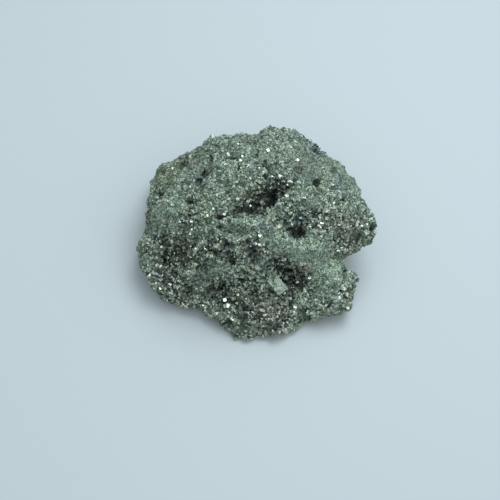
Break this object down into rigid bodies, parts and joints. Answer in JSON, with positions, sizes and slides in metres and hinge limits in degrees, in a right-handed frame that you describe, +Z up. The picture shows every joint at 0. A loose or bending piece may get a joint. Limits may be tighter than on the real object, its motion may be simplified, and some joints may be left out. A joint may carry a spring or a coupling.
{
  "type": "pyrite crystal cluster",
  "caption": "Rough hand-sized lump of granular pyrite with small cubic crystals all over it, resting on a small flat spot.",
  "frame": {"origin": "middle of the lump's bounding box, on the surface that it rests on", "axes": "+X along the longest way across, from the rounded left end to the pointed horn; +Y towards the smooth back slope; +Z up, out of the flat spot that it rests on"},
  "size_m": [0.0588, 0.0504, 0.0332],
  "materials": {
    "pyrite": "satin"
  },
  "bodies": {
    "root": {"pyrite_cluster": "pyrite"}
  },
  "joints": []
}
